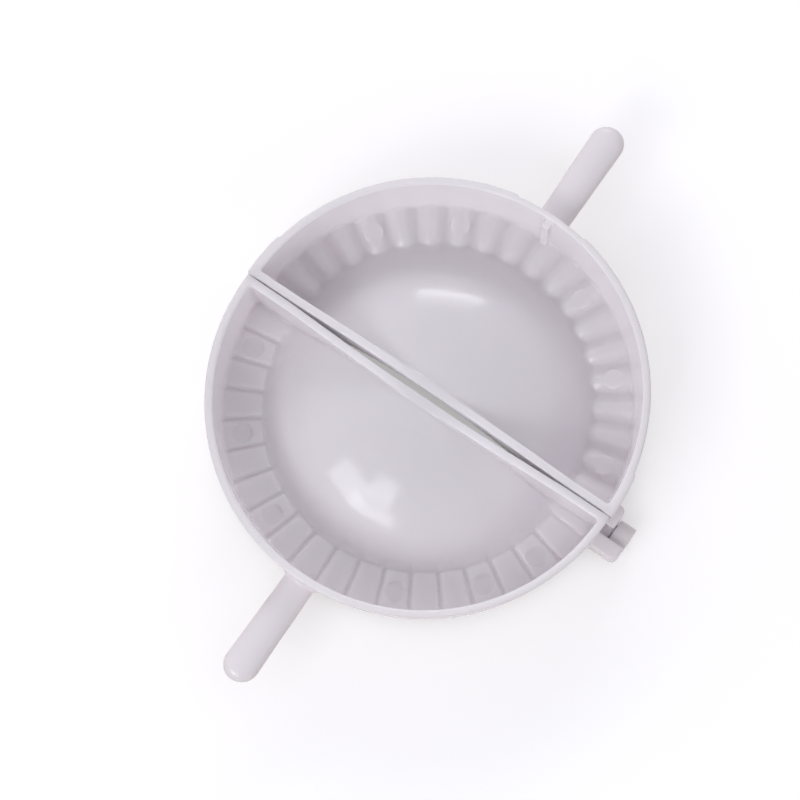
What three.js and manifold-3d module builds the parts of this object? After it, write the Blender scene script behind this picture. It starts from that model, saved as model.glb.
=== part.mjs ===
// A hand press for folding and crimping filled dumplings.
//
// Two white half-round mouldings fold together on a snap hinge that lies along X.
// Each half is a half dome inside a ring of crimping flutes, a tall rim round the back,
// a straight back wall along the hinge line and a lever handle.
// The press lies open and flat with its crimping faces down, as it does when it is put by,
// so the domes, the backs of the flutes and the rims are seen from above.
// Lengths are in millimetres. Heights are taken from the plane where the two faces meet,
// and at the end the whole press is lifted so that its hinge ears stand on z = 0,
// and shifted along X so that x = 0 is half way between its ears' outer faces.

import * as THREE from 'three';
import { mergeVertices } from 'three/addons/utils/BufferGeometryUtils.js';
import Module from 'manifold-3d';

// Rim and back wall
const RIM_RADIUS = 50;
const RIM_HEIGHT = 17;
const RIM_WALL = 1.9;
const RIM_OUTER_DRAFT = 1.5;
const RIM_INNER_DRAFT = 0.9;
const CENTRE_OFFSET = 1.5;
const FACE_GAP = 0.2;
const BACK_WALL = 2.4;
const WALL_BOW = 0.6;

// Dome over each half of the bowl
const DOME_FOOT_RADIUS = 37.2;
const DOME_FOOT_HEIGHT = 1.4;
const DOME_TOP_DROP = 0.2;
const SHELL = 1.8;

// Crimping flutes, which run from the bowl's edge to the rim
const FLUTE_DEPTH = 2;
const FLUTE_WEB = 1.6;
const FLUTE_RAMP = 0.8;
const BOWL_LAND = 1.2;
const FLUTES_PER_HALF = 20;
const STEPS_PER_FLUTE = 6;

// Lever handles, oval bars that leave the rim at half its height and rise a little toward their tips
const HANDLE_REACH = 26.5;
const HANDLE_ROOT_WIDTH = 7.6;
const HANDLE_TIP_WIDTH = 8.4;
const HANDLE_THICKNESS = 5;
const HANDLE_ROOT_LEVEL = 9.2;
const HANDLE_TIP_RISE = 1.6;
const HANDLE_FILLET = 1.5;

// Snap hinge: stub pins on one half, ears on the other.
// The end at +X is wide and stands out past the rim, and the slim one at -X keeps close under it.
const AXIS_DROP = 0.2;
const PIN_RADIUS = 1.6;
const PIN_CLEARANCE = 0.3;
const PIN_SHORTFALL = 0.4;
const LUG_RADIUS = 2.8;
const WIDE_LUG_THICKNESS = 4;
const SLIM_LUG_THICKNESS = 1.6;
const LUG_INSIDE_RIM = 2.2;
const LUG_BLOCK_LENGTH = 6.3;
const LUG_BLOCK_HEIGHT = 5.5;
const EAR_RADIUS = 3.5;
const WIDE_EAR_THICKNESS = 4.1;
const SLIM_EAR_THICKNESS = 2;
const EAR_FOOT = 3;
const ARM_ROOT = 1.1;
const ARM_REACH = 6.4;
const ARM_HEIGHT = 4.5;
const ARM_END_RADIUS = 1.4;

// Locating rib inside the rim of the pin half
const RIB_WIDTH = 1.8;
const RIB_DEPTH = 1.1;

// One overrun serves every cut and every joined root
const OVERRUN = 1;

// Facet counts
const DOME_SEGMENTS = 72;
const DOME_RINGS = 8;
const BOW_STEPS = 12;
const PIN_SEGMENTS = 24;
const HANDLE_OVAL_STEPS = 20;
const HANDLE_END_STEPS = 5;
const FILLET_STEPS = 3;
const CORNER_STEPS = 4;

// Shares of one flute's pitch taken by what stands at each whole pitch:
// a groove in the pin half's face, which meets a tooth of the socket half
const FACE_CREST_SHARE = 0.4;
const FACE_FLANK_SHARE = 0.3;
const PIN_BACK_CREST_SHARE = 0.56;
const PIN_BACK_FLANK_SHARE = 0.3;
const SOCKET_BACK_CREST_SHARE = 0.2;
const SOCKET_BACK_FLANK_SHARE = 0.15;

// Sizes that follow from the ones above
const rimBottomRadius = RIM_RADIUS - RIM_OUTER_DRAFT;
const rimInnerRadius = RIM_RADIUS - RIM_WALL;
const fluteOuterRadius = rimInnerRadius - RIM_INNER_DRAFT;
const domeTop = RIM_HEIGHT - DOME_TOP_DROP;
const domeRise = domeTop - DOME_FOOT_HEIGHT;
const domeRadius = (DOME_FOOT_RADIUS ** 2 + domeRise ** 2) / (2 * domeRise);
const domeCentre = domeTop - domeRadius;
const bowlRadius = domeRadius - SHELL;
const bowlEdge = Math.sqrt(bowlRadius ** 2 - domeCentre ** 2);
const fluteInnerRadius = bowlEdge + BOWL_LAND;
const flutePitch = Math.PI / FLUTES_PER_HALF;
const wallAngle = Math.asin((FACE_GAP + BACK_WALL + WALL_BOW - CENTRE_OFFSET) / fluteInnerRadius);
const flatEnd = wallAngle + flutePitch / STEPS_PER_FLUTE;
const lugInner = RIM_RADIUS - LUG_INSIDE_RIM;
const wideEnd = hingeEnd(WIDE_LUG_THICKNESS, WIDE_EAR_THICKNESS);
const slimEnd = hingeEnd(SLIM_LUG_THICKNESS, SLIM_EAR_THICKNESS);
const armInner = EAR_RADIUS - ARM_ROOT;
const rimAtHandle = rimBottomRadius + RIM_OUTER_DRAFT * HANDLE_ROOT_LEVEL / RIM_HEIGHT;
const handleRootHalf = HANDLE_ROOT_WIDTH / 2 + HANDLE_FILLET;
const handleRoot = CENTRE_OFFSET + Math.sqrt(rimAtHandle ** 2 - handleRootHalf ** 2);
const handleTip = CENTRE_OFFSET + RIM_RADIUS + HANDLE_REACH;

const wasm = await Module();
wasm.setup();

// Where the lug and the ear of one hinge end lie along X
function hingeEnd(lugThickness, earThickness) {
  const lugOuter = lugInner + lugThickness;
  const earInner = lugOuter + PIN_CLEARANCE;
  return { lugOuter, earInner, earOuter: earInner + earThickness };
}

// Solids and meshes

function toSolid(geometry) {
  const bare = geometry.clone();
  bare.deleteAttribute('normal');
  bare.deleteAttribute('uv');
  const merged = mergeVertices(bare);
  const index = merged.index.array;
  const triangles = [];
  for (let i = 0; i < index.length; i += 3) {
    const [a, b, c] = [index[i], index[i + 1], index[i + 2]];
    if (a !== b && b !== c && c !== a) triangles.push(a, b, c);
  }
  return new wasm.Manifold(new wasm.Mesh({
    numProp: 3,
    vertProperties: new Float32Array(merged.attributes.position.array),
    triVerts: new Uint32Array(triangles),
  }));
}

function toMesh(name, solid, material) {
  const mesh = solid.getMesh();
  const geometry = new THREE.BufferGeometry();
  geometry.setAttribute('position', new THREE.BufferAttribute(mesh.vertProperties, 3));
  geometry.setIndex(new THREE.BufferAttribute(mesh.triVerts, 1));
  geometry.computeVertexNormals();
  const result = new THREE.Mesh(geometry, material);
  result.name = name;
  return result;
}

// A solid skinned over a row of closed rings of points, all with the same number of points
function skin(rings) {
  const size = rings[0].length;
  const positions = rings.flat().flatMap((point) => point.toArray());
  const faces = [];
  for (let row = 0; row < rings.length - 1; row += 1) {
    for (let i = 0; i < size; i += 1) {
      const next = (i + 1) % size;
      const [a, b] = [row * size + i, row * size + next];
      faces.push(a, b, b + size, a, b + size, a + size);
    }
  }
  for (const row of [0, rings.length - 1]) {
    const outline = flatRing(rings[row]);
    const flip = THREE.ShapeUtils.isClockWise(outline) === (row > 0);
    for (const triangle of THREE.ShapeUtils.triangulateShape(outline, [])) {
      const corners = triangle.map((i) => row * size + i);
      faces.push(...(flip ? corners.reverse() : corners));
    }
  }
  const geometry = new THREE.BufferGeometry();
  geometry.setAttribute('position', new THREE.Float32BufferAttribute(positions, 3));
  geometry.setIndex(signedVolume(positions, faces) < 0 ? faces.reverse() : faces);
  return toSolid(geometry);
}

// An end ring lies in a plane of constant Y, so its cap is worked out in X and Z
function flatRing(ring) {
  return ring.map((point) => new THREE.Vector2(point.x, point.z));
}

function signedVolume(positions, faces) {
  const at = (i) => new THREE.Vector3().fromArray(positions, 3 * i);
  let total = 0;
  for (let i = 0; i < faces.length; i += 3) {
    total += at(faces[i]).dot(at(faces[i + 1]).cross(at(faces[i + 2])));
  }
  return total;
}

// A plan outline in X and Y, raised from one height to another
function prism(outline, bottom, top) {
  const geometry = new THREE.ExtrudeGeometry(new THREE.Shape(outline), {
    depth: top - bottom,
    bevelEnabled: false,
  });
  geometry.translate(0, 0, bottom);
  return toSolid(geometry);
}

function box(low, high) {
  const size = new THREE.Vector3().subVectors(high, low);
  const middle = new THREE.Vector3().addVectors(high, low).multiplyScalar(0.5);
  const geometry = new THREE.BoxGeometry(size.x, size.y, size.z);
  geometry.translate(middle.x, middle.y, middle.z);
  return toSolid(geometry);
}

// A round bar along X on the hinge axis
function axisBar(radius, from, to) {
  const geometry = new THREE.CylinderGeometry(radius, radius, to - from, PIN_SEGMENTS);
  geometry.rotateZ(Math.PI / 2);
  geometry.translate((from + to) / 2, 0, -AXIS_DROP);
  return toSolid(geometry);
}

// A piece of the hinge in its wide form at +X and its slim form at -X
function atBothEnds(piece) {
  return piece(wideEnd).add(piece(slimEnd).mirror([1, 0, 0]));
}

// Points of a quarter circle about a centre, from one heading round to the next
function corner(centreX, centreY, radius, startTurn) {
  const points = [];
  for (let i = 0; i <= CORNER_STEPS; i += 1) {
    const turn = (startTurn + i / CORNER_STEPS) * Math.PI / 2;
    points.push(new THREE.Vector2(centreX + radius * Math.cos(turn), centreY + radius * Math.sin(turn)));
  }
  return points;
}

// Height of a row of flutes, from -1 to 1, at an angle round the half from the hinge line.
// The row stops one step short of the back wall, whose foot is flat.
function fluteWave(angle, crestShare, flankShare) {
  const fromHinge = Math.min(angle, Math.PI - angle);
  if (fromHinge < flatEnd) return 0;
  const pitches = fromHinge / flutePitch;
  const phase = Math.abs(pitches - Math.round(pitches));
  const slope = (crestShare / 2 - phase) / (flankShare / 2);
  return Math.sin(THREE.MathUtils.clamp(slope, -1, 1) * Math.PI / 2);
}

// The rim and the crimping ring, swept round the half and carried straight on to the hinge line
function rimAndFlutes(side, backCrestShare, backFlankShare) {
  const swing = FLUTE_DEPTH / 2;
  const ringAt = (angle, y) => {
    const face = side * swing * fluteWave(angle, FACE_CREST_SHARE, FACE_FLANK_SHARE);
    const back = FLUTE_WEB + side * swing * fluteWave(angle, backCrestShare, backFlankShare);
    const inner = bowlEdge + BOWL_LAND / 2;
    const profile = [
      [inner, 0],
      [fluteInnerRadius, 0],
      [fluteInnerRadius + FLUTE_RAMP, face],
      [fluteOuterRadius - FLUTE_RAMP, face],
      [fluteOuterRadius, 0],
      [rimBottomRadius, 0],
      [RIM_RADIUS, RIM_HEIGHT],
      [rimInnerRadius, RIM_HEIGHT],
      [fluteOuterRadius, back],
      [inner - back * inner / -domeCentre, back],
    ];
    return profile.map(([radius, z]) => new THREE.Vector3(
      radius * Math.cos(angle),
      y + radius * Math.sin(angle),
      z,
    ));
  };
  const rings = [ringAt(0, FACE_GAP)];
  const steps = FLUTES_PER_HALF * STEPS_PER_FLUTE;
  for (let i = 0; i <= steps; i += 1) {
    rings.push(ringAt(Math.PI * i / steps, CENTRE_OFFSET));
  }
  rings.push(ringAt(Math.PI, FACE_GAP));
  return skin(rings);
}

// Points down a sphere from its top to where it meets a height
function sphereArc(radius, bottom) {
  const end = Math.acos((bottom - domeCentre) / radius);
  const points = [];
  for (let i = 0; i <= DOME_RINGS; i += 1) {
    const angle = end * i / DOME_RINGS;
    points.push(new THREE.Vector2(radius * Math.sin(angle), domeCentre + radius * Math.cos(angle)));
  }
  return points;
}

// A turned solid about the vertical line through the half's own centre
function turned(profile) {
  const geometry = new THREE.LatheGeometry(profile, DOME_SEGMENTS, -Math.PI / 2);
  geometry.rotateX(Math.PI / 2);
  geometry.translate(0, CENTRE_OFFSET, 0);
  return toSolid(geometry);
}

// Everything on the half's own side of a line along X
function beyond(y) {
  const reach = 2 * RIM_RADIUS;
  return box(new THREE.Vector3(-reach, y, -reach), new THREE.Vector3(reach, reach, reach));
}

function dome() {
  const arc = sphereArc(domeRadius, DOME_FOOT_HEIGHT);
  const foot = [new THREE.Vector2(fluteInnerRadius, 0), new THREE.Vector2(0, 0)];
  return turned([...arc, ...foot].reverse()).intersect(beyond(CENTRE_OFFSET));
}

// The inside of the half bowl, which runs out through the back wall as an arch
function bowl() {
  const arc = sphereArc(bowlRadius, -OVERRUN);
  const hollow = turned([...arc, new THREE.Vector2(0, -OVERRUN)].reverse());
  const arch = new THREE.Shape([
    ...arc.toReversed().map((point) => new THREE.Vector2(-point.x, point.y)),
    ...arc.slice(1),
  ]);
  const tunnel = new THREE.ExtrudeGeometry(arch, { depth: CENTRE_OFFSET + OVERRUN, bevelEnabled: false });
  tunnel.rotateX(Math.PI / 2);
  tunnel.translate(0, CENTRE_OFFSET, 0);
  return hollow.intersect(beyond(CENTRE_OFFSET)).add(toSolid(tunnel));
}

// The bowed line of the back wall, at a distance from the face that meets the other half
function bowLine(distance) {
  const points = [];
  for (let i = 0; i <= BOW_STEPS; i += 1) {
    const share = 2 * i / BOW_STEPS - 1;
    const bow = WALL_BOW * (1 - share ** 2);
    points.push(new THREE.Vector2(share * rimInnerRadius, FACE_GAP + distance + bow));
  }
  return points;
}

function backWall() {
  const outline = [...bowLine(0), ...bowLine(BACK_WALL).reverse()];
  return prism(outline, 0, RIM_HEIGHT);
}

// What is taken off the hinge side so that both back walls bow away from each other
function bowCut() {
  const outline = [
    new THREE.Vector2(-rimInnerRadius, -OVERRUN),
    new THREE.Vector2(rimInnerRadius, -OVERRUN),
    ...bowLine(0).reverse(),
  ];
  return prism(outline, -OVERRUN - FLUTE_DEPTH, RIM_HEIGHT + OVERRUN);
}

// One cross-section of the handle, an oval about the bar's rising middle line
function handleRing(y, halfWidth, halfThickness) {
  const share = (y - handleRoot) / (handleTip - handleRoot);
  const level = HANDLE_ROOT_LEVEL + HANDLE_TIP_RISE * share;
  const ring = [];
  for (let i = 0; i < HANDLE_OVAL_STEPS; i += 1) {
    const angle = 2 * Math.PI * i / HANDLE_OVAL_STEPS;
    ring.push(new THREE.Vector3(
      halfWidth * Math.cos(angle),
      y,
      level + halfThickness * Math.sin(angle),
    ));
  }
  return ring;
}

// The handle's bar, with a fillet all round its root and a domed tip
function handle() {
  const endRadius = HANDLE_TIP_WIDTH / 2;
  const endStart = handleTip - endRadius;
  const halfThickness = HANDLE_THICKNESS / 2;
  const rings = [];
  const addRing = (y, spread) => {
    const share = (y - handleRoot) / (endStart - handleRoot);
    const halfWidth = THREE.MathUtils.lerp(HANDLE_ROOT_WIDTH, HANDLE_TIP_WIDTH, share) / 2;
    rings.push(handleRing(y, halfWidth + spread, halfThickness + spread));
  };
  addRing(handleRoot - RIM_WALL / 2, HANDLE_FILLET);
  for (let i = 0; i <= FILLET_STEPS; i += 1) {
    const angle = Math.PI / 2 * i / FILLET_STEPS;
    const forward = HANDLE_FILLET * (1 - Math.cos(angle));
    addRing(handleRoot + forward, HANDLE_FILLET * (1 - Math.sin(angle)));
  }
  for (let i = 0; i < HANDLE_END_STEPS; i += 1) {
    const angle = Math.PI / 2 * i / HANDLE_END_STEPS;
    const round = Math.cos(angle);
    const y = endStart + endRadius * Math.sin(angle);
    rings.push(handleRing(y, endRadius * round, halfThickness * round));
  }
  const lastRound = Math.cos(Math.PI / 2 * (HANDLE_END_STEPS - 1) / HANDLE_END_STEPS);
  rings.push(handleRing(handleTip, endRadius * lastRound / 2, halfThickness * lastRound / 2));
  return skin(rings);
}

// A half without its hinge, on the side where Y is positive
function plainHalf(side, backCrestShare, backFlankShare) {
  return rimAndFlutes(side, backCrestShare, backFlankShare)
    .add(dome())
    .add(backWall())
    .add(handle())
    .subtract(bowl())
    .subtract(bowCut());
}

// A solid lug on the pin half: a round cheek about the axis, and the block that ties it to the rim
function lug({ lugOuter }) {
  const turn = LUG_RADIUS / 2;
  const outline = [
    new THREE.Vector2(lugInner, FACE_GAP),
    new THREE.Vector2(lugOuter, FACE_GAP),
    ...corner(lugOuter - turn, FACE_GAP + LUG_BLOCK_LENGTH - turn, turn, 0),
    new THREE.Vector2(lugInner, FACE_GAP + LUG_BLOCK_LENGTH),
  ];
  return axisBar(LUG_RADIUS, lugInner, lugOuter).add(prism(outline, 0, LUG_BLOCK_HEIGHT));
}

function pin({ lugOuter, earOuter }) {
  return axisBar(PIN_RADIUS, lugOuter - OVERRUN, earOuter - PIN_SHORTFALL);
}

function locatingRib() {
  return box(
    new THREE.Vector3(-RIB_WIDTH / 2, CENTRE_OFFSET + fluteOuterRadius - RIB_DEPTH, FLUTE_WEB),
    new THREE.Vector3(RIB_WIDTH / 2, CENTRE_OFFSET + rimInnerRadius, RIM_HEIGHT - RIB_DEPTH),
  );
}

// An ear on the socket half: a round eye about the axis with a flat foot, carried by an arm off the rim
// whose root is sunk into the eye
function ear({ earInner, earOuter }) {
  const turn = ARM_END_RADIUS;
  const outline = [
    new THREE.Vector2(lugInner, -ARM_REACH),
    ...corner(earOuter - turn, -ARM_REACH + turn, turn, -1),
    new THREE.Vector2(earOuter, -armInner),
    new THREE.Vector2(lugInner, -armInner),
  ];
  const foot = box(
    new THREE.Vector3(earInner - OVERRUN, -EAR_RADIUS - OVERRUN, -AXIS_DROP - EAR_RADIUS - OVERRUN),
    new THREE.Vector3(earOuter + OVERRUN, EAR_RADIUS + OVERRUN, -AXIS_DROP - EAR_FOOT),
  );
  return axisBar(EAR_RADIUS, earInner, earOuter).subtract(foot).add(prism(outline, 0, ARM_HEIGHT));
}

// Room in the socket half for the pins and for the lugs to turn in
function hingeRoom({ lugOuter, earInner, earOuter }) {
  const lugRoom = axisBar(LUG_RADIUS + PIN_CLEARANCE, lugInner - PIN_CLEARANCE, earInner);
  const pinRoom = axisBar(PIN_RADIUS + PIN_CLEARANCE, lugOuter, earOuter + OVERRUN);
  return lugRoom.add(pinRoom);
}

const whitePlastic = new THREE.MeshStandardMaterial({ color: 0xe4e2ea, roughness: 0.28, metalness: 0 });

function pinHalf() {
  const solid = plainHalf(1, PIN_BACK_CREST_SHARE, PIN_BACK_FLANK_SHARE)
    .add(locatingRib())
    .add(atBothEnds(lug))
    .add(atBothEnds(pin));
  return toMesh('pin_half', solid, whitePlastic);
}

function socketHalf() {
  const solid = plainHalf(-1, SOCKET_BACK_CREST_SHARE, SOCKET_BACK_FLANK_SHARE)
    .mirror([0, 1, 0])
    .add(atBothEnds(ear))
    .subtract(atBothEnds(hingeRoom));
  return toMesh('socket_half', solid, whitePlastic);
}

const group = new THREE.Group();
group.add(socketHalf(), pinHalf());
group.position.x = (slimEnd.earOuter - wideEnd.earOuter) / 2;
group.position.z = AXIS_DROP + EAR_FOOT;

export default group;
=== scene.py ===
import math

import bpy
import numpy as np
from mathutils import Matrix, Vector


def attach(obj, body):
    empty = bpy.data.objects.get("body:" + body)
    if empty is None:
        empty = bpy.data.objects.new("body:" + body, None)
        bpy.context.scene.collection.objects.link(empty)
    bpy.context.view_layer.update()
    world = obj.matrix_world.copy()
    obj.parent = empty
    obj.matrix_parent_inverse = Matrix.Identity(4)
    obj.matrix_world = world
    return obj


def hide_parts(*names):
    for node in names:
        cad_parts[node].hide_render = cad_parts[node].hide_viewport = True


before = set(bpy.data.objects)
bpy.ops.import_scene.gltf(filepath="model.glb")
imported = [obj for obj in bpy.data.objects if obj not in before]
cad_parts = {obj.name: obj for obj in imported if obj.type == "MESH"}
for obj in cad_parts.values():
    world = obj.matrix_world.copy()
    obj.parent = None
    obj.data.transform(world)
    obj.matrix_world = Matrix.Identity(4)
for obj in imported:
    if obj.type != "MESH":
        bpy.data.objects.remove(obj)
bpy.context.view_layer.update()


# The pin half is one injection moulding in glossy white polypropylene: a half dome in a ring of
# crimping flutes, a tall rim, a back wall along the hinge line and a lever.
# It is shaped here in millimetres as a solid field, so every root has the moulder's fillet.

# u runs along the hinge line, v from it toward the lever, and w up from the crimping faces.

MM = 0.001
HINGE_MIDDLE = (-2.25, 0.0, 3.2)

RIM_RADIUS = 50.0
RIM_HEIGHT = 17.0
RIM_WALL = 1.9
RIM_FOOT_RADIUS = 48.5
RIM_INNER_DRAFT = 0.9
LIP_EDGE = 0.5
FOOT_EDGE = 0.3
CORNER_FILLET = 0.7
CENTRE_OFFSET = 1.5
FACE_GAP = 0.03
BACK_WALL = 2.1
BACK_WALL_EDGE = 0.4
BOW_REACH = 39.0
BOW_POWER = 1.3
WALL_REACH = RIM_RADIUS - RIM_WALL

DOME_RADIUS = 52.63
DOME_CENTRE = -35.83
BOWL_RADIUS = 50.83
BOWL_EDGE = 0.3
FLUTE_FILLET = 0.9
WALL_FILLET = 0.6
LEVER_FILLET = 1.4
FINE_EDGE = 0.2

FLUTE_PITCH = math.radians(9.25)
FLUTE_START = math.radians(87.7)
FLUTE_INNER = 37.25
TEETH_INNER = 38.6
FLUTE_OUTER = 47.2
FLUTE_RAMP = 0.8
FLUTE_SWING = 1.0
FLUTE_WEB = 1.6
INSIDE_FLUTES = 1.1
CREST_SHARE = 0.4
FLANK_SHARE = 0.3
FINGERTIP = 3.2
FLAT_END = math.radians(2.8)
FLAT_FADE = math.radians(1.3)

HANDLE_TIP = 78.0
HANDLE_ROOT = 50.5
HANDLE_ROOT_HALF = 3.8
HANDLE_TIP_HALF = 4.2
HANDLE_HALF_THICKNESS = 2.5
HANDLE_ROOT_LEVEL = 9.2
HANDLE_TIP_RISE = 1.6
HANDLE_BURIED = 0.9

AXIS_DROP = 0.2


def rounded_edge(a, b, radius):
    """Where two faces meet outwards, the tool leaves this radius."""
    beyond = np.hypot(np.maximum(a + radius, 0), np.maximum(b + radius, 0))
    return np.minimum(np.maximum(a, b), -radius) + beyond


def filleted_root(a, b, radius):
    """Where one form grows out of another, the tool leaves this fillet."""
    within = np.hypot(np.maximum(radius - a, 0), np.maximum(radius - b, 0))
    return np.maximum(np.minimum(a, b), radius) - within


def eased(share):
    """0 before the share begins and 1 after it ends, with a soft start and stop."""
    share = np.clip(share, 0, 1)
    return share * share * (3 - 2 * share)


def round_the_half(u, v):
    """Distance from the half's own centre and angle round it, both carried on to the hinge line."""
    along = np.maximum(v - CENTRE_OFFSET, 0)
    return np.hypot(u, along), np.arctan2(along, u)


def flute_phase(turn):
    """0 at a flute's middle and 0.5 half way to the next."""
    pitches = (turn - FLUTE_START) / FLUTE_PITCH
    return np.abs(pitches - np.round(pitches))


def tooth_wave(turn):
    """The crimping face rises and falls once a flute, and runs out flat beside the hinge."""
    wave = np.sin(np.clip((CREST_SHARE / 2 - flute_phase(turn)) / (FLANK_SHARE / 2), -1, 1) * math.pi / 2)
    return wave * eased((np.minimum(turn, math.pi - turn) - FLAT_END) / FLAT_FADE)


def wall_bow(u, w, most):
    """The wall's free top bows away from the hinge line. Its foot is held straight by the flutes."""
    along = np.maximum(1 - (u / BOW_REACH) ** 2, 0) ** BOW_POWER
    return most * along * np.clip(w / RIM_HEIGHT, 0, 1)


def dome_shell(out, w):
    """A cap of a large ball. Its inside is hollowed later."""
    ball = np.hypot(out, w - DOME_CENTRE) - DOME_RADIUS
    return rounded_edge(ball, -w, FINE_EDGE)


def flute_sheet(out, w, back, face):
    """The ring of flutes between dome and rim. Its crimping teeth start outside the dome's foot."""
    ramp = eased((out - TEETH_INNER) / FLUTE_RAMP) * eased((FLUTE_OUTER - out) / FLUTE_RAMP)
    slope = 0.75
    sheet = rounded_edge(slope * (w - back), slope * (face * ramp - w), FINE_EDGE)
    return np.maximum(sheet, out - FLUTE_OUTER - 1)


def rim_outline(out, w, swell):
    """Both sides of the rim lean with the draft that lets it leave the tool."""
    outside = out - (RIM_FOOT_RADIUS + (RIM_RADIUS - RIM_FOOT_RADIUS) * w / RIM_HEIGHT) - swell
    inside = FLUTE_OUTER + RIM_INNER_DRAFT * w / RIM_HEIGHT - out
    return np.maximum(outside, inside)


def back_wall_outline(u, v, bow):
    """The wall along the hinge line reaches a little into the rim at both ends."""
    thick = np.maximum(v - FACE_GAP - BACK_WALL - bow, FACE_GAP + bow - v)
    return np.maximum(thick, np.abs(u) - WALL_REACH - 0.5)


def standing_walls(u, v, out, w, bow, swell):
    """Rim and back wall share one flat top, rounded at its edges."""
    plan = filleted_root(rim_outline(out, w, swell), back_wall_outline(u, v, bow), CORNER_FILLET)
    return rounded_edge(rounded_edge(plan, w - RIM_HEIGHT, LIP_EDGE), -w, FOOT_EDGE)


def handle(u, v, w):
    """An oval bar that leaves the rim at half its height and rises a little toward its tip."""
    end = HANDLE_TIP - HANDLE_TIP_HALF
    share = np.clip((v - HANDLE_ROOT) / (end - HANDLE_ROOT), 0, 1)
    half = HANDLE_ROOT_HALF + (HANDLE_TIP_HALF - HANDLE_ROOT_HALF) * share
    level = HANDLE_ROOT_LEVEL + HANDLE_TIP_RISE * (v - HANDLE_ROOT) / (HANDLE_TIP - HANDLE_ROOT)
    across = np.hypot(u, np.maximum(v - end, 0)) / half
    bar = (np.hypot(across, (w - level) / HANDLE_HALF_THICKNESS) - 1) * HANDLE_HALF_THICKNESS
    return np.maximum(bar, HANDLE_ROOT - HANDLE_BURIED - v)


def ejector_marks(solid, u, v, w, flutes, level):
    """The ejector pins pushed on the middle of these flutes, and each left a flat round pad there."""
    for flute in flutes:
        turn = FLUTE_START + flute * FLUTE_PITCH
        x = MARK_DISTANCE * math.cos(turn)
        y = MARK_DISTANCE * math.sin(turn) + CENTRE_OFFSET
        pad = np.hypot(u - x, v - y) - MARK_RADIUS
        disc = np.maximum(rounded_edge(pad, w - level, MARK_EDGE), MARK_FOOT - w)
        solid = np.minimum(solid, disc)
        solid = np.maximum(solid, -np.maximum(pad, level - w))
    return solid


def plain_half(u, v, w, back, face, bow, swell=0):
    """Dome, flutes, rim, back wall and lever, hollowed by the half bowl and cut along the hinge line."""
    out, turn = round_the_half(u, v)
    dome, flutes = dome_shell(out, w), flute_sheet(out, w, back, face)
    walls = standing_walls(u, v, out, w, bow, swell)
    seen_side = filleted_root(filleted_root(dome, flutes, FLUTE_FILLET), walls, WALL_FILLET)
    crimping_side = np.minimum(np.minimum(dome, flutes), walls)
    solid = np.where(w > INSIDE_FLUTES, seen_side, crimping_side)
    levered = filleted_root(solid, handle(u, v, w), LEVER_FILLET)
    solid = np.where(out > RIM_FOOT_RADIUS, levered, solid)
    solid = np.maximum(solid, w - RIM_HEIGHT)
    hollow = np.hypot(out, w - DOME_CENTRE) - BOWL_RADIUS
    solid = rounded_edge(solid, -hollow, BOWL_EDGE)
    return rounded_edge(solid, FACE_GAP + bow - v, BACK_WALL_EDGE)


def slope_of(field, points):
    """How fast the field grows along each axis at these points."""
    step = 0.02
    rise = []
    for axis in range(3):
        shift = np.zeros(3)
        shift[axis] = step
        ahead = field(*(points + shift).T)
        behind = field(*(points - shift).T)
        rise.append((ahead - behind) / (2 * step))
    return np.stack(rise, axis=1)


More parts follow.
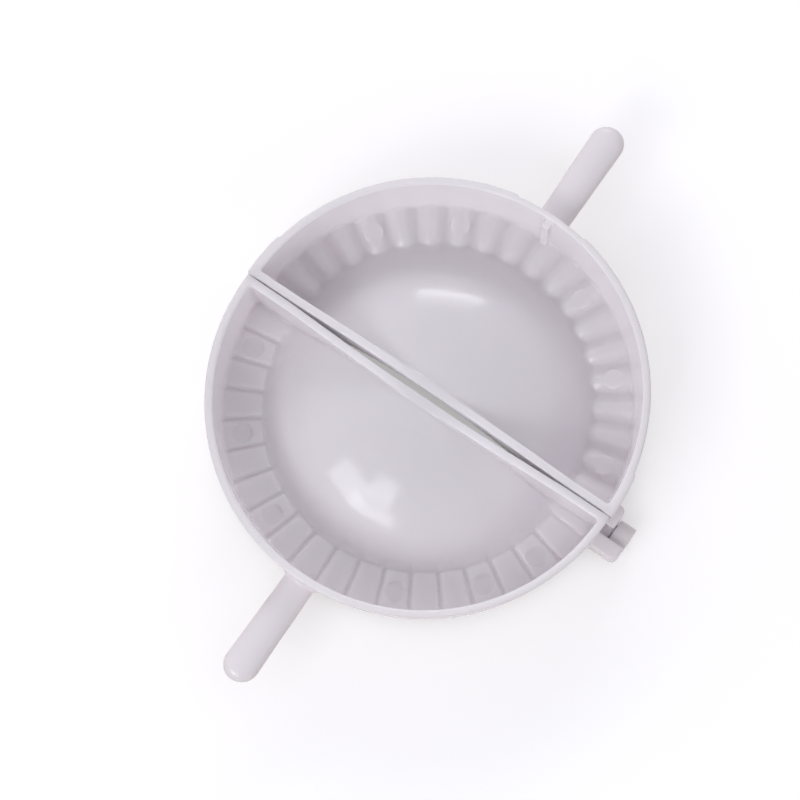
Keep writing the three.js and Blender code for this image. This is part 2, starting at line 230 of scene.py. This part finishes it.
def mould(name, field, low, high):
    """Closes a quad mesh on the field's zero surface and sets each corner exactly on it.

    The shading takes the field's own slope, except at edges too sharp for the mesh.
    """
    grain = 0.45
    fine = 0.4
    tall = 0.75
    flutes_top = 4.6
    lip_foot = RIM_HEIGHT - 1.6
    xs = np.arange(low[0], high[0] + grain, grain)
    ys = np.arange(low[1], high[1] + grain, grain)
    zs = np.concatenate([
        np.arange(low[2], flutes_top, fine),
        np.arange(flutes_top, lip_foot, tall),
        np.arange(lip_foot, high[2] + fine, fine),
    ])
    X, Y, Z = np.meshgrid(xs, ys, zs, indexing="ij")
    value = field(X, Y, Z)
    full = value < 0
    size = tuple(n - 1 for n in value.shape)

    def shifted(array, i, j, k):
        return array[i:size[0] + i, j:size[1] + j, k:size[2] + k]

    corners = [(i, j, k) for i in (0, 1) for j in (0, 1) for k in (0, 1)]
    count = sum(shifted(full, *c).astype(int) for c in corners)
    cells = np.argwhere((count > 0) & (count < 8))
    number = np.full(size, -1)
    number[tuple(cells.T)] = np.arange(len(cells))
    grid = np.stack([X, Y, Z], axis=-1)
    total = np.zeros((len(cells), 3))
    crossings = np.zeros(len(cells))
    for a in corners:
        for b in corners:
            if sum(b) - sum(a) != 1 or any(q < p for p, q in zip(a, b)):
                continue
            at = tuple((cells + a).T)
            to = tuple((cells + b).T)
            f, g = value[at], value[to]
            cut = (f < 0) != (g < 0)
            share = np.where(cut, f / np.where(cut, f - g, 1), 0)[:, None]
            total += np.where(cut[:, None], grid[at] * (1 - share) + grid[to] * share, 0)
            crossings += cut
    points = total / crossings[:, None]
    longest_move = 0.15
    for _ in range(4):
        rise = slope_of(field, points)
        steep = np.maximum((rise ** 2).sum(axis=1), 0.05)
        move = -(field(*points.T) / steep)[:, None] * rise
        length = np.linalg.norm(move, axis=1, keepdims=True)
        points += move * np.minimum(1, longest_move / np.maximum(length, 1e-9))

    quads = []
    for axis in range(3):
        p, q = [(1, 2), (2, 0), (0, 1)][axis]
        here = [slice(1, -1)] * 3
        there = [slice(1, -1)] * 3
        here[axis] = slice(0, -1)
        there[axis] = slice(1, None)
        a, b = full[tuple(here)], full[tuple(there)]
        for cut, turned in ((a & ~b, False), (~a & b, True)):
            spot = np.argwhere(cut)
            spot[:, p] += 1
            spot[:, q] += 1
            back_p, back_q = np.zeros(3, int), np.zeros(3, int)
            back_p[p], back_q[q] = 1, 1
            ring = [spot - back_p - back_q, spot - back_q, spot, spot - back_p]
            if turned:
                ring.reverse()
            quads.append(np.stack([number[tuple(c.T)] for c in ring], axis=1))
    quads = np.concatenate(quads)

    mesh = bpy.data.meshes.new(name)
    mesh.vertices.add(len(points))
    mesh.vertices.foreach_set("co", ((points + HINGE_MIDDLE) * MM).ravel())
    mesh.loops.add(quads.size)
    mesh.loops.foreach_set("vertex_index", quads.ravel())
    mesh.polygons.add(len(quads))
    mesh.polygons.foreach_set("loop_start", np.arange(len(quads)) * 4)
    mesh.update(calc_edges=True)
    mesh.validate()
    mesh.polygons.foreach_set("use_smooth", np.ones(len(mesh.polygons), bool))
    facing = slope_of(field, points)
    facing /= np.maximum(np.linalg.norm(facing, axis=1, keepdims=True), 1e-9)
    own = np.empty(facing.size)
    mesh.vertices.foreach_get("normal", own)
    own = own.reshape(-1, 3)
    nearly_same = 0.94
    agree = (own * facing).sum(axis=1, keepdims=True) > nearly_same
    mesh.normals_split_custom_set_from_vertices(np.where(agree, facing, own))
    piece = bpy.data.objects.new(name, mesh)
    bpy.context.scene.collection.objects.link(piece)
    return piece


MARK_DISTANCE = 42.9
MARK_RADIUS = 2.4
MARK_EDGE = 0.12
MARK_FOOT = 0.8
PIN_MARKS = [-8, -5, -2, 3, 6]
PIN_MARK_LEVEL = 2.4
PIN_WALL_BOW = 0.6

FINGER_MIDDLE = 0.25
FINGER_SWING = 0.65
FINGER_FULLNESS = 1.35
TIP_ROUNDING = 0.75

SWELL = 0.42
SWELL_STEP = 0.6
HINGE_SWELL_END = 10.7
LEVER_SLIM_START = 79.1

LOCATING_RIB = 0.9
RIB_REACH = 1.1
RIB_BELOW_LIP = 1.1

LUG_RADIUS = 2.8
LUG_INNER = 47.8
LUG_BLOCK_REACH = 5.4
LUG_BLOCK_TOP = 5.5
LUG_CORNER = 1.4
PIN_RADIUS = 1.6
PIN_RECESS = 0.4
WIDE_HINGE = (51.8, 52.0, 56.2)
SLIM_HINGE = (49.4, 49.6, 51.7)


def hinge_end(u):
    """Outer face of the lug and both faces of the ear. The end at -X is slim and keeps under the rim."""
    return [np.where(u > 0, wide, slim) for wide, slim in zip(WIDE_HINGE, SLIM_HINGE)]


def pin_back(out, turn):
    """Round fingers with soft valleys between them, rounded at their inner ends too."""
    beyond_tip = np.clip((FLUTE_INNER + FINGERTIP - out) / FINGERTIP, 0, 1)
    spread = np.minimum(np.hypot(2 * flute_phase(turn), TIP_ROUNDING * beyond_tip), 1)
    rise = FINGER_MIDDLE + FINGER_SWING * np.cos(math.pi * spread ** FINGER_FULLNESS)
    return FLUTE_WEB + FLUTE_SWING * rise


def rim_swell(turn):
    """The rim is a little fuller beside the hinge and a little slimmer behind the lever."""
    from_hinge = np.degrees(np.minimum(turn, math.pi - turn))
    fuller = SWELL * (1 - eased((from_hinge - HINGE_SWELL_END) / SWELL_STEP))
    return fuller - SWELL * eased((from_hinge - LEVER_SLIM_START) / SWELL_STEP)


def lugs_and_pins(u, v, w):
    """A lug round the axis at each end, rooted in a block beside the rim, with a stub pin outward."""
    far = np.abs(u)
    lug_outer, ear_inner, ear_outer = hinge_end(u)
    round_axis = np.hypot(v, w + AXIS_DROP)
    cheek = rounded_edge(round_axis - LUG_RADIUS, np.maximum(far - lug_outer, LUG_INNER - far), 0.25)
    plan = rounded_edge(far - lug_outer, v - LUG_BLOCK_REACH, LUG_CORNER)
    block = rounded_edge(rounded_edge(plan, w - LUG_BLOCK_TOP, 0.5), -w, FINE_EDGE)
    block = np.maximum(np.maximum(block, LUG_INNER - far), FACE_GAP - v)
    pin = rounded_edge(round_axis - PIN_RADIUS, far - ear_outer + PIN_RECESS, 0.4)
    pin = np.maximum(pin, lug_outer - 1 - far)
    return filleted_root(filleted_root(cheek, block, 0.3), pin, 0.15)


def pin_half_field(u, v, w):
    """The whole half, with a short rib inside its rim on the lever's line."""
    out, turn = round_the_half(u, v)
    face = FLUTE_SWING * tooth_wave(turn)
    bow = wall_bow(u, w, PIN_WALL_BOW)
    solid = plain_half(u, v, w, pin_back(out, turn), face, bow, rim_swell(turn))
    solid = ejector_marks(solid, u, v, w, PIN_MARKS, PIN_MARK_LEVEL)
    rib = rounded_edge(np.abs(u) - LOCATING_RIB, CENTRE_OFFSET + FLUTE_OUTER - RIB_REACH - v, 0.35)
    rib = rounded_edge(rib, w - RIM_HEIGHT + RIB_BELOW_LIP, 0.4)
    rib = np.maximum(np.maximum(rib, 1.0 - w), v - CENTRE_OFFSET - RIM_RADIUS + 1)
    solid = filleted_root(solid, rib, 0.3)
    return filleted_root(solid, lugs_and_pins(u, v, w), 0.4)


pin_half = mould("pin_half_moulding", pin_half_field, (-57, -4, -4), (57, 79, 18))
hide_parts("pin_half")
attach(pin_half, "pin_body")

plastic = bpy.data.materials.new("white_polypropylene")
plastic.use_nodes = True
nodes, links = plastic.node_tree.nodes, plastic.node_tree.links
skin = nodes["Principled BSDF"]
skin.inputs["IOR"].default_value = 1.49
skin.inputs["Subsurface Weight"].default_value = 1.0
skin.inputs["Subsurface Radius"].default_value = (0.94, 1.0, 0.94)
skin.inputs["Subsurface Scale"].default_value = 0.0035

place = nodes.new("ShaderNodeTexCoord")


def unevenness(scale, detail):
    """A soft noise that is fixed to the moulding."""
    noise = nodes.new("ShaderNodeTexNoise")
    noise.inputs["Scale"].default_value = scale
    noise.inputs["Detail"].default_value = detail
    links.new(place.outputs["Object"], noise.inputs["Vector"])
    return noise.outputs["Fac"]


tint = nodes.new("ShaderNodeValToRGB")
tint.color_ramp.elements[0].position = 0.3
tint.color_ramp.elements[0].color = (0.87, 0.838, 0.862, 1)
tint.color_ramp.elements[1].position = 0.7
tint.color_ramp.elements[1].color = (0.89, 0.858, 0.882, 1)
links.new(unevenness(45, 3), tint.inputs["Fac"])
links.new(tint.outputs["Color"], skin.inputs["Base Color"])

gloss = nodes.new("ShaderNodeMapRange")
gloss.inputs["From Min"].default_value = 0.3
gloss.inputs["From Max"].default_value = 0.7
gloss.inputs["To Min"].default_value = 0.11
gloss.inputs["To Max"].default_value = 0.17
links.new(unevenness(220, 4), gloss.inputs["Value"])
links.new(gloss.outputs["Result"], skin.inputs["Roughness"])

ripple = nodes.new("ShaderNodeBump")
ripple.inputs["Strength"].default_value = 0.1
ripple.inputs["Distance"].default_value = 0.0001
links.new(unevenness(160, 2), ripple.inputs["Height"])
links.new(ripple.outputs["Normal"], skin.inputs["Normal"])

pin_half.data.materials.append(plastic)


# The socket half comes out of the sister cavity. Its flutes are broad lobes with narrow grooves,
# and it carries the ears that the pins snap into.

SOCKET_MARKS = [-7.5, -5.5, -2.5, 2.5, 5.5, 8.5]
SOCKET_MARK_LEVEL = 2.32
SOCKET_WALL_BOW = 1.0

LOBE_CORNER = 1.2
LOBE_CROWN = 0.3
GROOVE_DEPTH = 0.5
GROOVE_WIDTH = 0.5
GROOVE_FADE = math.radians(4)

EAR_RADIUS = 3.5
EAR_FOOT = -3.2
ARM_ROOT = 2.4
ARM_REACH = 6.4
ARM_TOP = 4.5
LUG_ROOM = 3.1
PIN_ROOM = 1.9


def socket_back(out, turn):
    """Broad lobes, round at their inner corners, with narrow grooves that fade out beside the hinge."""
    phase = flute_phase(turn)
    from_groove = phase * FLUTE_PITCH * out
    from_tip = out - FLUTE_INNER - 0.2
    inside = -rounded_edge(-from_groove, -from_tip, LOBE_CORNER)
    crown = LOBE_CROWN * np.maximum(1 - 2 * phase, 0) ** 3
    near_wall = 1 - eased((np.minimum(turn, math.pi - turn) - FLAT_END) / GROOVE_FADE)
    groove = GROOVE_DEPTH * (1 - near_wall) * np.exp(-(np.maximum(inside, 0) / GROOVE_WIDTH) ** 2)
    return FLUTE_WEB + FLUTE_SWING - crown - groove


def ears(u, v, w):
    """An eye round the axis at each end, on an arm that grows out of the rim."""
    far = np.abs(u)
    lug_outer, ear_inner, ear_outer = hinge_end(u)
    round_axis = np.hypot(v, w + AXIS_DROP)
    cheeks = np.maximum(far - ear_outer, ear_inner - far)
    eye = rounded_edge(rounded_edge(round_axis - EAR_RADIUS, cheeks, 0.35), EAR_FOOT - w, 0.25)
    plan = rounded_edge(far - ear_outer, v - ARM_REACH, 1.5)
    arm = rounded_edge(rounded_edge(plan, w - ARM_TOP, 0.8), -w, FOOT_EDGE)
    arm = np.maximum(np.maximum(arm, LUG_INNER - far), ARM_ROOT - v)
    return np.maximum(filleted_root(eye, arm, 0.5), far - ear_outer)


def hinge_room(u, v, w):
    """Clearance for the lugs and pins."""
    far = np.abs(u)
    lug_outer, ear_inner, ear_outer = hinge_end(u)
    round_axis = np.hypot(v, w + AXIS_DROP)
    lug_room = np.maximum(round_axis - LUG_ROOM, np.maximum(LUG_INNER - 0.3 - far, far - ear_inner))
    pin_room = np.maximum(round_axis - PIN_ROOM, lug_outer - far)
    return np.minimum(lug_room, pin_room)


def socket_half_field(u, y, w):
    v = -y
    out, turn = round_the_half(u, v)
    face = -FLUTE_SWING * tooth_wave(turn)
    solid = plain_half(u, v, w, socket_back(out, turn), face, wall_bow(u, w, SOCKET_WALL_BOW))
    solid = ejector_marks(solid, u, v, w, SOCKET_MARKS, SOCKET_MARK_LEVEL)
    solid = filleted_root(solid, ears(u, v, w), 0.8)
    return rounded_edge(solid, -hinge_room(u, v, w), 0.15)


socket_half = mould("socket_half_moulding", socket_half_field, (-57, -79, -4), (57, 4, 18))
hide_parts("socket_half")
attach(socket_half, "socket_body")
socket_half.data.materials.append(plastic)


# The ground is plain white to the camera, with the press's own soft shadow on it.
# Back to the plastic it sends a dull warm light, so that the white moulding keeps its shade.


def camera_or_mirror(nodes, links):
    """1 where the camera or a glossy surface looks at it, and 0 for all other light."""
    path = nodes.new("ShaderNodeLightPath")
    either = nodes.new("ShaderNodeMath")
    either.operation = "MAXIMUM"
    links.new(path.outputs["Is Camera Ray"], either.inputs[0])
    links.new(path.outputs["Is Glossy Ray"], either.inputs[1])
    return either.outputs["Value"]


bpy.ops.mesh.primitive_plane_add(size=6)
table = bpy.context.object
table.name = "table"
tabletop = bpy.data.materials.new("table_top")
tabletop.use_nodes = True
nodes, links = tabletop.node_tree.nodes, tabletop.node_tree.links
ground = nodes["Principled BSDF"]
ground.inputs["Base Color"].default_value = (0.33, 0.22, 0.16, 1)
ground.inputs["Roughness"].default_value = 0.8
paper = nodes.new("ShaderNodeBsdfDiffuse")
paper.inputs["Color"].default_value = (0.8, 0.8, 0.8, 1)
glow = nodes.new("ShaderNodeEmission")
glow.inputs["Strength"].default_value = 0.4
sheet = nodes.new("ShaderNodeAddShader")
links.new(paper.outputs["BSDF"], sheet.inputs[0])
links.new(glow.outputs["Emission"], sheet.inputs[1])
choose = nodes.new("ShaderNodeMixShader")
links.new(camera_or_mirror(nodes, links), choose.inputs["Fac"])
links.new(ground.outputs["BSDF"], choose.inputs[1])
links.new(sheet.outputs["Shader"], choose.inputs[2])
links.new(choose.outputs["Shader"], nodes["Material Output"].inputs["Surface"])
table.data.materials.append(tabletop)


# Daylight: a pale room, a high and a low window that the domes mirror, and soft plain light
# from all round.

room = bpy.data.worlds.new("room")
room.use_nodes = True
nodes, links = room.node_tree.nodes, room.node_tree.links
walls = nodes["Background"]
walls.inputs["Color"].default_value = (0.944, 0.927, 1.0, 1)
walls.inputs["Strength"].default_value = 0.375
bright = nodes.new("ShaderNodeBackground")
bright.inputs["Color"].default_value = (1, 1, 1, 1)
bright.inputs["Strength"].default_value = 1
choose = nodes.new("ShaderNodeMixShader")
links.new(camera_or_mirror(nodes, links), choose.inputs["Fac"])
links.new(walls.outputs["Background"], choose.inputs[1])
links.new(bright.outputs["Background"], choose.inputs[2])
links.new(choose.outputs["Shader"], nodes["World Output"].inputs["Surface"])
bpy.context.scene.world = room


LAMP_DISTANCE = 1.5


def lamp(name, azimuth, elevation, width, height, power, colour, mirrored):
    """A rectangle of light that faces the press from LAMP_DISTANCE away. Angles are in degrees."""
    light = bpy.data.lights.new(name, "AREA")
    light.shape = "RECTANGLE"
    light.size, light.size_y = width, height
    light.energy = power
    light.color = colour
    holder = bpy.data.objects.new(name, light)
    bpy.context.scene.collection.objects.link(holder)
    a, e = math.radians(azimuth), math.radians(elevation)
    toward = Vector((math.cos(e) * math.cos(a), math.cos(e) * math.sin(a), math.sin(e)))
    holder.location = toward * LAMP_DISTANCE
    holder.rotation_euler = toward.to_track_quat("Z", "Y").to_euler()
    holder.visible_glossy = mirrored
    return holder


DAYLIGHT = (0.98, 0.97, 1.0)
lamp("high_window", 116, 22.5, 0.74, 0.11, 1.4, DAYLIGHT, True)
lamp("high_window_haze", 118, 27, 0.7, 0.2, 0.7, DAYLIGHT, True)
lamp("low_window", -88, 33.5, 0.62, 0.2, 1.75, DAYLIGHT, True)
lamp("low_window_side", -109, 38, 0.54, 0.4, 2.6, DAYLIGHT, True)
lamp("low_window_top", -87, 46, 0.34, 0.4, 1.7, DAYLIGHT, True)
SOFT_WHITE = (0.944, 0.927, 1.0)
lamp("ceiling_left", -135, 55, 1.2, 0.7, 1.0, SOFT_WHITE, False)
lamp("ceiling_right", 45, 55, 1.2, 0.7, 0.6, SOFT_WHITE, False)
lamp("head_side", 125, 22, 1.2, 0.7, 5.4, SOFT_WHITE, False)
lamp("foot_side", -60, 25, 1.2, 0.7, 2.1, SOFT_WHITE, False)
lamp("right_side", 0, 25, 1.2, 0.7, 2.2, SOFT_WHITE, False)
lamp("left_side", 180, 22, 1.2, 0.7, 2.6, SOFT_WHITE, False)


# The camera hangs over the table, tipped eleven degrees, with a long lens.

CAMERA_PLACE = Vector((64.29, -84.94, 551.56)) * MM
azimuth, elevation, roll = math.radians(41.43), math.radians(78.62), math.radians(-6.88)
level = Vector((math.sin(azimuth), -math.cos(azimuth), 0)) * math.cos(elevation)
back = level + Vector((0, 0, math.sin(elevation)))
right = Vector((0, 0, 1)).cross(back).normalized()
up = back.cross(right)
across = right * math.cos(roll) + up * math.sin(roll)
upward = up * math.cos(roll) - right * math.sin(roll)
lens = bpy.data.cameras.new("camera")
lens.sensor_width = 36
lens.lens = 107.36
camera = bpy.data.objects.new("camera", lens)
bpy.context.scene.collection.objects.link(camera)
camera.matrix_world = Matrix((
    (across.x, upward.x, back.x, CAMERA_PLACE.x),
    (across.y, upward.y, back.y, CAMERA_PLACE.y),
    (across.z, upward.z, back.z, CAMERA_PLACE.z),
    (0, 0, 0, 1),
))
bpy.context.scene.camera = camera
bpy.context.scene.cycles.diffuse_bounces = 8
bpy.context.scene.view_settings.view_transform = "Standard"
